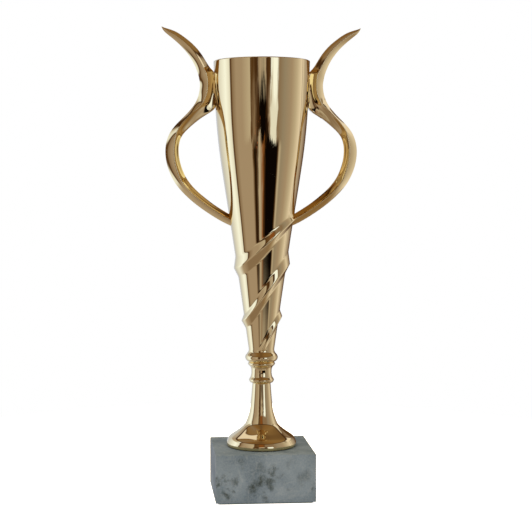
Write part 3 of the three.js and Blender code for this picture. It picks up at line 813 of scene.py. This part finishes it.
bright = (0.56, 0.68, 0.97)
cream = (0.45, 0.52, 0.69)
dull_cream = (0.33, 0.37, 0.47)
warm_cream = (0.46, 0.455, 0.51)
tan = (0.215, 0.187, 0.186)
light_tan = (0.29, 0.28, 0.29)
deep_tan = (0.14, 0.109, 0.093)
grey = (0.17, 0.161, 0.168)
brown = (0.055, 0.029, 0.012)
dark_brown = (0.030, 0.014, 0.006)
black = (0.002, 0.0012, 0.001)
glow = (0.13, 0.05, 0.015)
honey = (0.14, 0.093, 0.048)
amber = (0.125, 0.074, 0.032)
umber = (0.080, 0.049, 0.026)
left_side = [(-150, dull_cream), (-125, cream), (-104, bright), (-89, cream),
             (-87, brown), (-83.5, brown), (-82, deep_tan), (-70, tan)]
right_side = [(109, warm_cream), (110, brown), (111.5, warm_cream), (118, light_tan),
              (132, tan), (152, brown)]
eye_level = strip(left_side + [
    (-55, tan), (-34, light_tan), (-31, brown), (-16, dark_brown), (-14, tan), (1, light_tan),
    (6, tan), (8, dark_brown), (15, brown), (17, bright), (34, bright), (35.5, deep_tan),
    (52, grey), (72, tan), (88, light_tan)] + right_side)
below_eyes = strip(left_side + [
    (-55, tan), (-34, light_tan), (-31, brown), (-24, deep_tan), (-15, dark_brown), (-9, black),
    (5, black), (9, dark_brown), (15, tan), (18, cream), (33, cream), (35, deep_tan),
    (52, grey), (72, tan), (88, light_tan)] + right_side)
waist_level = strip(left_side + [
    (-31, tan), (-27, brown), (-22, black), (-16, dark_brown), (-14, light_tan), (-6, tan),
    (-1, glow), (3, dark_brown), (7, black), (37, black), (40, brown), (44, light_tan),
    (50, grey), (72, tan), (88, light_tan)] + right_side)
knee_level = strip(left_side + [
    (-33, tan), (-22, deep_tan), (-15, light_tan), (-8, deep_tan), (0, tan), (12, light_tan),
    (30, tan), (44, light_tan), (60, deep_tan), (72, tan), (88, light_tan)] + right_side)
table_top = strip([
    (-180, dull_cream), (-130, light_tan), (-80, tan), (-45, deep_tan), (60, deep_tan),
    (90, honey), (160, tan)])
picture_rail = strip([
    (-180, dull_cream), (-145, tan), (-108, light_tan), (-96, cream), (-89, cream), (-87, brown),
    (-83.5, brown), (-82, deep_tan), (-70, tan),
    (-34, light_tan), (-31, brown), (-16, umber), (-13, glow), (0, glow), (5, umber), (8, deep_tan),
    (35, deep_tan), (52, grey), (72, tan), (88, light_tan), (98, umber), (102, warm_cream),
    (138, warm_cream), (141, umber), (146, deep_tan)])
ceiling = strip([
    (-180, warm_cream), (-141, warm_cream), (-138, umber), (-132, honey), (-100, deep_tan),
    (-60, amber), (-10, umber), (30, amber), (100, honey), (140, umber), (180, honey)])

# %% The strips, mixed by level
level = upwards + wobble * middle_only * sway_upwards
walls = shader.mix(level.between(-0.035, 0.025), below_eyes, eye_level)
walls = shader.mix(level.between(-0.19, -0.15), waist_level, walls)
glints = noise(shader, direction, 26, detail=4, roughness=0.7).between(0.60, 0.66)
glints_turn = -14
glints_level = -0.15
near = (turn - math.radians(glints_turn)).abs().between(math.radians(11), math.radians(5))
near = near * (upwards - glints_level).abs().between(0.07, 0.03)
walls = shader.mix(glints * near, walls, (0.42, 0.13, 0.06))
walls = shader.mix(upwards.between(-0.40, -0.33), knee_level, walls)
walls = shader.mix(upwards.between(-0.72, -0.50), table_top, walls)
walls = shader.mix(upwards.between(0.36, 0.42), walls, picture_rail)
walls = shader.mix(upwards.between(0.56, 0.62), walls, dark_brown)
walls = shader.mix(upwards.between(0.63, 0.68), walls, ceiling)
print("nodes in the room:", len(room.node_tree.nodes))

# %% What each kind of ray sees
seen = shader.node("ShaderNodeBackground", {}, {"Color": (1, 1, 1, 1), "Strength": 1.0})
mirrored = shader.node("ShaderNodeBackground", {}, {"Color": walls, "Strength": room_gain})
towards_left = (to_right * -1).between(0.1, 0.9)
from_elsewhere = (0.19, 0.25, 0.34)
from_left = (2.05, 1.38, 0.86)
from_above = (3.10, 2.50, 1.55)
lit = shader.mix(towards_left, from_elsewhere, from_left)
lit = shader.mix(upwards.between(0.3, 0.9), lit, from_above)
soft = shader.node("ShaderNodeBackground", {}, {"Color": lit, "Strength": 1.0})
is_seen = shader.node("ShaderNodeLightPath")
is_soft = Sock(shader, is_seen.socket.node.outputs["Is Diffuse Ray"])
both = shader.node("ShaderNodeMixShader", {}, {0: is_soft, 1: mirrored, 2: soft})
both = shader.node("ShaderNodeMixShader", {}, {0: is_seen, 1: both, 2: seen})
shader.node("ShaderNodeOutputWorld", {}, {"Surface": both})

# %% [markdown]
# ## Floor and lamp
# A small white table that gives off some light of its own, bright enough to melt into the white
# behind it, and one large soft lamp above and to the left. The metal shows neither of them.

# %% Floor
deselect()
bpy.ops.mesh.primitive_circle_add(vertices=96, radius=0.34, fill_type="NGON", location=(0, 0, 0))
floor = bpy.context.object
floor.name = "floor"
table, shader = new_material("white_table")
place = object_place(shader)
paper = noise(shader, place, 700, detail=3)
weave = shader.node("ShaderNodeBump", {}, {"Strength": 0.1, "Distance": 0.0003, "Height": paper})
matt = shader.node("ShaderNodeBsdfPrincipled", {}, {
    "Base Color": shader.mix(paper, (0.86, 0.86, 0.87), (0.92, 0.92, 0.92)), "Roughness": 0.9,
    "Specular IOR Level": 0.2, "Normal": weave, "Emission Color": (1, 1, 1, 1),
    "Emission Strength": 0.8})
shader.node("ShaderNodeOutputMaterial", {}, {"Surface": matt})
floor.data.materials.append(table)
floor.visible_glossy = False

# %% Lamp
lamp_data = bpy.data.lights.new("key", "AREA")
lamp_data.shape = "DISK"
lamp_data.size = 1.0
lamp_data.energy = 18
lamp_data.color = (1, 0.92, 0.80)
lamp = bpy.data.objects.new("key", lamp_data)
bpy.context.scene.collection.objects.link(lamp)
lamp.location = (-0.35, 0.15, 1.7)
lamp_aim = Vector((0, 0, 0.05))
lamp.rotation_euler = (lamp_aim - lamp.location).to_track_quat("-Z", "Y").to_euler()
lamp.visible_glossy = False
print("lamp above the table, m:", round(lamp.location.z, 2))
